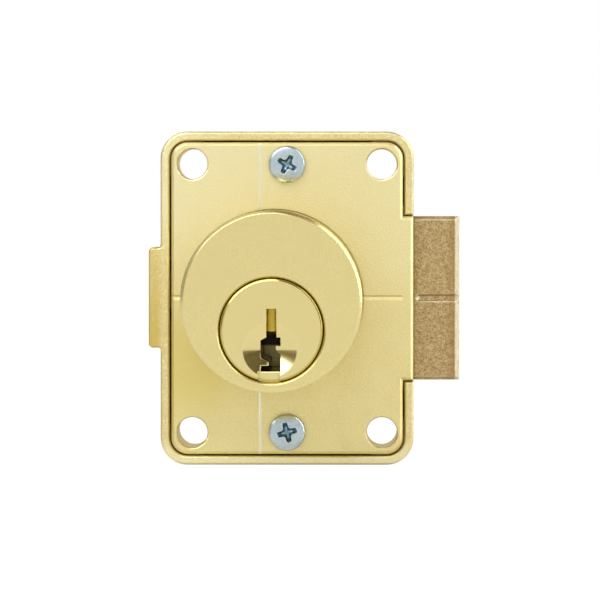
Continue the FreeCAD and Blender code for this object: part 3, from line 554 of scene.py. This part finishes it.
# Wound springs: turns in all, those of a closed end and of the easing after it, an end turn's pitch
# and what is ground off it as shares of the wire, and the mesh's steps to a turn and sides of the wire
SPRING_TURNS = 7
END_TURNS = 0.85
EASING_TURNS = 0.3
END_PITCH = 1.04
GROUND_OFF = 0.25
COIL_STEPS = 48
WIRE_SIDES = 12
BOLT_SPRING_WIRE = 0.45 * MM
PIN_SPRING_WIRE = 0.3 * MM

# Screw heads and shanks, and how far the cover screws' crosses are turned, in degrees
PAN_RADIUS = 2.625 * MM
PAN_ROUNDING = 0.34 * MM
FLUSH_RADIUS = 2.7 * MM
SHANK_RADIUS = 1.45 * MM
CAM_SCREW_HEAD = 1.5 * MM
COVER_SCREW_TURNS = {"cover_screw_upper": 28.0, "cover_screw_lower": -15.0}
TURNING_STEPS = 96

# Screw threads: where they start under either head and how far before the tip they end, how deep
# their foot lies in the core and what it leaves of the pitch on each side, and the turns that they
# take to rise and to sink
THREAD_CORE = 1.18 * MM
THREAD_CREST = 1.44 * MM
THREAD_PITCH = 0.5 * MM
THREAD_STEPS = 36
PAN_THREAD_START = 0.7 * MM
FLUSH_THREAD_START = 1.6 * MM
THREAD_END = 0.4 * MM
FOOT_DEPTH = 0.05 * MM
FOOT_GAP = 0.02
RISING_TURNS = 0.8

# The cross recess: an arm's reach and half width, how far the wide middle goes along an arm, and
# the depth below the head's face and the size of the cross at each level
CROSS_ARM = 1.38 * MM
CROSS_HALF = 0.4 * MM
CROSS_MIDDLE = 0.62 * MM
CROSS_LEVELS = [
    (-0.25 * MM, 1.3), (-0.02 * MM, 1.09), (0.12 * MM, 1.0), (0.55 * MM, 0.88), (1.0 * MM, 0.616),
    (1.25 * MM, 0.0308),
]

MERGE_DISTANCE = 0.0001 * MM
SHARP_ANGLE = math.radians(32.0)


def close_holes(shape):
    """Faces over all open edges of a mesh under construction"""
    bmesh.ops.holes_fill(shape, edges=[edge for edge in shape.edges if edge.is_boundary])


def mesh_from(name, shape):
    """A mesh from one under construction, which is freed"""
    mesh = bpy.data.meshes.new(name)
    shape.to_mesh(mesh)
    shape.free()
    return mesh


def new_object(name, data):
    """An object in the scene"""
    item = bpy.data.objects.new(name, data)
    bpy.context.scene.collection.objects.link(item)
    return item


def finished_piece(name, shape, finish, body, nodes):
    """A piece of the scene from a mesh under construction, riding on a body in place of CAD nodes"""
    bmesh.ops.recalc_face_normals(shape, faces=shape.faces)
    mesh = mesh_from(name, shape)
    mesh.shade_smooth()
    mesh.set_sharp_from_angle(angle=SHARP_ANGLE)
    mesh.materials.append(MATERIALS[finish])
    piece = new_object(name, mesh)
    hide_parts(*nodes)
    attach(piece, body)
    return piece


def spring_mesh(outer, wire, long):
    """A compression spring along +Z from 0 with closed end turns that are ground flat"""
    shape = bmesh.new()
    ground = GROUND_OFF * wire
    at_start = Matrix.Translation(((outer - wire) / 2, 0, wire / 2 - ground))
    bmesh.ops.create_circle(shape, segments=WIRE_SIDES, radius=wire / 2,
                            matrix=at_start @ Matrix.Rotation(math.pi / 2, 4, "X"))
    closed = END_PITCH * wire
    ending = round(END_TURNS * COIL_STEPS)
    easing = round(EASING_TURNS * COIL_STEPS)
    middle = SPRING_TURNS * COIL_STEPS - 2 * (ending + easing)
    climb = long - wire + 2 * ground
    opened = (climb * COIL_STEPS - closed * (2 * ending + easing)) / (middle + easing)
    eased = (closed + opened) / 2
    to_middle = [(ending, closed), (easing, eased)]
    front = shape.verts[:] + shape.edges[:]
    for count, pitch in to_middle + [(middle, opened)] + to_middle[::-1]:
        front = bmesh.ops.spin(shape, geom=front, cent=(0, 0, 0), axis=(0, 0, 1),
                               dvec=(0, 0, pitch / COIL_STEPS), angle=2 * math.pi * count / COIL_STEPS,
                               steps=count)["geom_last"]
    close_holes(shape)
    for height, side in ((0, -1), (long, 1)):
        bmesh.ops.bisect_plane(shape, geom=shape.verts[:] + shape.edges[:] + shape.faces[:],
                               plane_co=(0, 0, height), plane_no=(0, 0, side), clear_outer=True)
        close_holes(shape)
    return shape


def make_spring(node, outer, wire, long, matrix):
    """A wound spring in place of a plain coil, set down by a matrix"""
    shape = spring_mesh(outer, wire, long)
    bmesh.ops.transform(shape, matrix=matrix, verts=shape.verts)
    return finished_piece(node + "_coil", shape, "spring_steel", "lock_body", [node])


def make_springs():
    """Seven compression springs in place of the plain coils"""
    for side in ("upper", "lower"):
        node = "bolt_spring_" + side
        low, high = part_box(node)
        middle = (low + high) / 2
        matrix = (Matrix.Translation((low.x, middle.y, middle.z))
                  @ Matrix.Rotation(math.pi / 2, 4, "Y"))
        piece = make_spring(node, high.z - low.z, BOLT_SPRING_WIRE, high.x - low.x, matrix)
        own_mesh(piece)
    for number in range(1, 6):
        node = f"pin_spring_{number}"
        low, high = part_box(node)
        middle = (low + high) / 2
        matrix = Matrix.Translation((middle.x, middle.y, low.z))
        piece = make_spring(node, high.x - low.x, PIN_SPRING_WIRE, high.z - low.z, matrix)
        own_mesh(piece)


def solid_of_turns(corners):
    """A mesh of revolution about Y from radius and height pairs that start and end on the axis"""
    shape = bmesh.new()
    spots = [shape.verts.new((radius, along, 0)) for radius, along in corners]
    line = [shape.edges.new(pair) for pair in zip(spots, spots[1:])]
    bmesh.ops.spin(shape, geom=spots + line, cent=(0, 0, 0), axis=(0, 1, 0), angle=2 * math.pi,
                   steps=TURNING_STEPS, use_merge=True)
    bmesh.ops.remove_doubles(shape, verts=shape.verts, dist=MERGE_DISTANCE)
    bmesh.ops.recalc_face_normals(shape, faces=shape.faces)
    return shape


def pan_profile(tall, long):
    """The outline of a pan head screw: a flat with a faint lip, a round rim and a pointed shank"""
    flat = [(0, -tall), (1.5 * MM, -tall), (1.62 * MM, -tall + 0.02 * MM)]
    crown = [(PAN_RADIUS - PAN_ROUNDING * share, -tall + drop * MM)
             for share, drop in ((1, 0.05), (0.55, 0.11), (0.2, 0.27), (0, 0.55))]
    under = [(PAN_RADIUS, -0.08 * MM), (PAN_RADIUS - 0.08 * MM, 0), (SHANK_RADIUS, 0),
             (SHANK_RADIUS, 0.35 * MM), (THREAD_CORE, 0.6 * MM)]
    tip = [(THREAD_CORE, long - 0.5 * MM), (THREAD_CORE * 0.6, long), (0, long)]
    return flat + crown + under + tip


def flush_profile(long):
    """The outline of a countersunk screw with its face at 0"""
    cone = FLUSH_RADIUS - SHANK_RADIUS
    head = [(0, 0), (FLUSH_RADIUS - 0.12 * MM, 0), (FLUSH_RADIUS, 0.06 * MM), (SHANK_RADIUS, cone),
            (THREAD_CORE, cone + 0.3 * MM)]
    tip = [(THREAD_CORE, long - 0.4 * MM), (THREAD_CORE * 0.7, long), (0, long)]
    return head + tip


def add_thread(shape, start, end):
    """A helical thread between two heights, which rises from and sinks into the core at its ends"""
    plain = set(shape.verts)
    root = THREAD_CORE - FOOT_DEPTH
    spots = [shape.verts.new((radius, start + share * THREAD_PITCH, 0))
             for radius, share in ((root, FOOT_GAP), (THREAD_CREST, 0.5), (root, 1 - FOOT_GAP))]
    line = [shape.edges.new(pair) for pair in zip(spots, spots[1:] + spots[:1])]
    turns = int((end - start) / THREAD_PITCH) - 1
    bmesh.ops.spin(shape, geom=spots + line, cent=(0, 0, 0), axis=(0, -1, 0),
                   dvec=(0, THREAD_PITCH / THREAD_STEPS, 0), angle=2 * math.pi * turns,
                   steps=turns * THREAD_STEPS)
    for spot in [spot for spot in shape.verts if spot not in plain]:
        radius = math.hypot(spot.co.x, spot.co.z)
        if radius > THREAD_CORE:
            done = (spot.co.y - start - THREAD_PITCH / 2) / (turns * THREAD_PITCH)
            grown = min(1.0, done * turns / RISING_TURNS, (1 - done) * turns / RISING_TURNS)
            wanted = root + (THREAD_CREST - root) * max(grown, 0.0)
            spot.co.x *= wanted / radius
            spot.co.z *= wanted / radius
    close_holes(shape)


def cross_cutter(face):
    """The tapered cross that a screwdriver needs, with a wide middle, from above a face inwards"""
    shape = bmesh.new()
    # One arm, with its end's corners taken off, and the slant from it to the next arm
    arm = [(CROSS_ARM * 0.93, -CROSS_HALF * 0.8), (CROSS_ARM, -CROSS_HALF * 0.45),
           (CROSS_ARM, CROSS_HALF * 0.45), (CROSS_ARM * 0.93, CROSS_HALF * 0.8),
           (CROSS_MIDDLE, CROSS_HALF), (CROSS_HALF, CROSS_MIDDLE)]
    (along, size), *levels = CROSS_LEVELS
    outline = []
    for quarter in range(4):
        turn = Matrix.Rotation(quarter * math.pi / 2, 2)
        for spot in arm:
            across, up = turn @ Vector(spot)
            outline.append(shape.verts.new((across, face + along, up)))
    cap = shape.faces.new(outline)
    bmesh.ops.scale(shape, vec=(size, 1, size), verts=cap.verts)
    for deeper, smaller in levels:
        grown = bmesh.ops.extrude_face_region(shape, geom=[cap])["geom"]
        bmesh.ops.delete(shape, geom=[cap], context="FACES_ONLY")
        cap = next(item for item in grown if isinstance(item, bmesh.types.BMFace))
        bmesh.ops.translate(shape, vec=(0, deeper - along, 0), verts=cap.verts)
        bmesh.ops.scale(shape, vec=(smaller / size, 1, smaller / size), verts=cap.verts)
        along, size = deeper, smaller
    close_holes(shape)
    bmesh.ops.recalc_face_normals(shape, faces=shape.faces)
    return shape


def cut_away(blank, cutter):
    """A new mesh under construction: the blank less the cutter"""
    uncut = new_object("blank", mesh_from("blank", blank))
    tool = new_object("cutter", mesh_from("cutter", cutter))
    rule = uncut.modifiers.new("cut", "BOOLEAN")
    rule.operation = "DIFFERENCE"
    rule.solver = "EXACT"
    rule.object = tool
    settled = uncut.evaluated_get(bpy.context.evaluated_depsgraph_get())
    shape = bmesh.new()
    shape.from_mesh(settled.to_mesh())
    settled.to_mesh_clear()
    for item in (uncut, tool):
        mesh = item.data
        bpy.data.objects.remove(item)
        bpy.data.meshes.remove(mesh)
    return shape


def make_screw(node, profile, face, thread_start, long, matrix):
    """A cross-recessed screw in place of a plain one, set down by a matrix"""
    shape = cut_away(solid_of_turns(profile), cross_cutter(face))
    add_thread(shape, thread_start, long - THREAD_END)
    bmesh.ops.transform(shape, matrix=matrix, verts=shape.verts)
    body = "plug_core" if node == "cam_screw" else "lock_body"
    finished_piece(node + "_detailed", shape, "zinc_plate", body, [node])


def make_screws():
    """Two pan heads on the plate, two flush screws from behind, and the cam's pan head, also behind"""
    for node, turn in COVER_SCREW_TURNS.items():
        low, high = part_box(node)
        middle = (low + high) / 2
        matrix = (Matrix.Translation((middle.x, 0, middle.z))
                  @ Matrix.Rotation(math.radians(turn), 4, "Y"))
        make_screw(node, pan_profile(-low.y, high.y), low.y, PAN_THREAD_START, high.y, matrix)
    turned_round = Matrix.Rotation(math.pi, 4, "Z")
    for node in ("cylinder_screw_left", "cylinder_screw_right"):
        low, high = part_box(node)
        middle = (low + high) / 2
        long = high.y - low.y
        matrix = Matrix.Translation((middle.x, high.y, middle.z)) @ turned_round
        make_screw(node, flush_profile(long), 0, FLUSH_THREAD_START, long, matrix)
    low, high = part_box("cam_screw")
    middle = (low + high) / 2
    long = high.y - low.y - CAM_SCREW_HEAD
    matrix = Matrix.Translation((middle.x, high.y - CAM_SCREW_HEAD, middle.z)) @ turned_round
    make_screw("cam_screw", pan_profile(CAM_SCREW_HEAD, long), -CAM_SCREW_HEAD, PAN_THREAD_START, long,
               matrix)


def make_camera():
    """The photograph's view"""
    camera = new_object("camera", bpy.data.cameras.new("camera"))
    camera.location = CAMERA_PLACE
    camera.rotation_euler = (CAMERA_AIM - CAMERA_PLACE).to_track_quat("-Z", "Y").to_euler()
    camera.data.sensor_width = SENSOR_WIDTH
    camera.data.lens = PIXELS_PER_RADIAN / VIEW_PIXELS * SENSOR_WIDTH
    camera.data.clip_start = CLIP_START
    camera.data.clip_end = CLIP_END
    bpy.context.scene.camera = camera


# The room's own brightness grows along a direction up and to the right, and all of the studio gives
# bounced light only a share of what reflections get
ROOM_LEAN = (0.8, 0.0, 0.6)
ROOM_DARKEST = 0.37
ROOM_BRIGHTEST = 0.93
DIFFUSE_SHARE = 0.55

# Cards of the studio, in degrees: the middle's azimuth, clockwise from above as the camera sees it,
# and half the width; the middle's angle off the lock's front axis, and half the width; the soft
# border; and how a card changes the room there. Pale cards add to its brightness, and dark ones,
# a little brown, leave a share of it.
PALE = "ADD"
DARK = "MULTIPLY"
CARDS = [
    ("front", 0, 180, 0, 32, 25, PALE, (0.195, 0.195, 0.195)),
    ("behind_edges", 0, 180, 132, 20, 8, DARK, (0.4, 0.36, 0.28)),
    ("back", 0, 180, 180, 18, 10, PALE, (0.3, 0.3, 0.3)),
    ("upper_right_shade", 50, 40, 58, 13, 3, DARK, (0.12, 0.09, 0.03)),
    ("left_shade", 282, 6, 62, 12, 6, DARK, (0.45, 0.38, 0.2)),
    ("top_shade", 13, 15, 94, 14, 5, DARK, (0.3, 0.25, 0.14)),
    ("right_box", 71, 36, 78, 8, 2, PALE, (4.4, 4.4, 4.4)),
    ("top_box", 334, 29, 54, 17, 5, PALE, (3.6, 3.6, 3.6)),
]

# The floor: half its side, its roughness, its glow, and the share of the glow that the camera and
# that reflections see
FLOOR_HALF = 6.0
FLOOR_ROUGHNESS = 0.8
FLOOR_GLOW = 1.1
SEEN_SHARE = 0.86
MIRRORED_SHARE = 0.38


def make_card_group():
    """How far a direction lies inside a card"""
    tree, given, result = new_group("card", [
        ("Azimuth", "Float", 0.0), ("Tilt", "Float", 0.0), ("Middle Azimuth", "Float", 0.0),
        ("Half Azimuth", "Float", 0.0), ("Middle Tilt", "Float", 0.0), ("Half Tilt", "Float", 0.0),
        ("Softness", "Float", 0.1),
    ], [("Mask", "Float")])
    masks = []
    for name in ("Azimuth", "Tilt"):
        half = given["Half " + name]
        away = reckon(tree, "SUBTRACT", given[name], given["Middle " + name])
        apart = reckon(tree, "ABSOLUTE", reckon(tree, "WRAP", away, math.pi, -math.pi))
        masks.append(soft_ramp(tree, apart, reckon(tree, "ADD", half, given["Softness"]), half))
    give(tree, result, Mask=times(tree, *masks))
    return tree


def make_world():
    """A white background, and a studio around the lock with bright and dark cards"""
    world = bpy.data.worlds.new("studio")
    bpy.context.scene.world = world
    world.use_nodes = True
    tree = world.node_tree
    tree.nodes.clear()
    way = put(tree, "ShaderNodeTexCoord").outputs["Generated"]
    parts = parts_of(tree, way)
    azimuth = reckon(tree, "ARCTAN2", parts["X"], parts["Z"])
    tilt = reckon(tree, "ARCCOSINE", times(tree, parts["Y"], -1.0))
    lean = measure(tree, "DOT_PRODUCT", way, ROOM_LEAN)
    light = ramp(tree, lean, -1.0, 1.0, ROOM_DARKEST, ROOM_BRIGHTEST)
    card = make_card_group()
    for name, middle, half, off, half_off, soft, kind, amount in CARDS:
        node = grouped(tree, card, Middle_Azimuth=math.radians(middle), Half_Azimuth=math.radians(half),
                       Middle_Tilt=math.radians(off), Half_Tilt=math.radians(half_off),
                       Softness=math.radians(soft))
        node.label = name
        tree.links.new(azimuth, node.inputs["Azimuth"])
        tree.links.new(tilt, node.inputs["Tilt"])
        light = blended(tree, node.outputs["Mask"], light, amount + (1,), kind)
    path = put(tree, "ShaderNodeLightPath").outputs
    dimmed = ramp(tree, path["Is Diffuse Ray"], 0.0, 1.0, 1.0, DIFFUSE_SHARE)
    around = put(tree, "ShaderNodeBackground", [("Color", light), ("Strength", dimmed)]).outputs[0]
    behind = put(tree, "ShaderNodeBackground", [("Color", WHITE), ("Strength", 1.0)]).outputs[0]
    either = put(tree, "ShaderNodeMixShader", [(0, path["Is Camera Ray"]), (1, around), (2, behind)])
    put(tree, "ShaderNodeOutputWorld", [("Surface", either.outputs[0])])


def floor_material():
    """Grey for bounced light, with a white glow that the camera sees most and reflections less"""
    material = bpy.data.materials.new("floor")
    material.use_nodes = True
    tree = material.node_tree
    shader = tree.nodes["Principled BSDF"]
    shader.inputs["Base Color"].default_value = FLOOR_GREY
    shader.inputs["Roughness"].default_value = FLOOR_ROUGHNESS
    path = put(tree, "ShaderNodeLightPath").outputs
    reflected = reckon(tree, "MAXIMUM", path["Is Glossy Ray"], path["Is Transmission Ray"])
    share = reckon(tree, "MAXIMUM", times(tree, reflected, MIRRORED_SHARE),
                   times(tree, path["Is Camera Ray"], SEEN_SHARE))
    glow = put(tree, "ShaderNodeEmission", [("Color", WHITE), ("Strength", FLOOR_GLOW)]).outputs[0]
    blend = put(tree, "ShaderNodeMixShader", [(0, share), (1, shader.outputs[0]), (2, glow)])
    tree.links.new(blend.outputs[0], tree.nodes["Material Output"].inputs["Surface"])
    return material


def make_floor():
    """A pale floor that the lock stands on: white to the camera, and it keeps the lock's shadow"""
    shape = bmesh.new()
    bmesh.ops.create_grid(shape, x_segments=1, y_segments=1, size=FLOOR_HALF)
    bmesh.ops.translate(shape, verts=shape.verts, vec=(0, 0, cad_low.z))
    floor = new_object("floor", mesh_from("floor", shape))
    floor.data.materials.append(floor_material())


dress_frame()
make_springs()
make_screws()
make_camera()
make_world()
make_floor()
bpy.context.scene.view_settings.view_transform = "Standard"
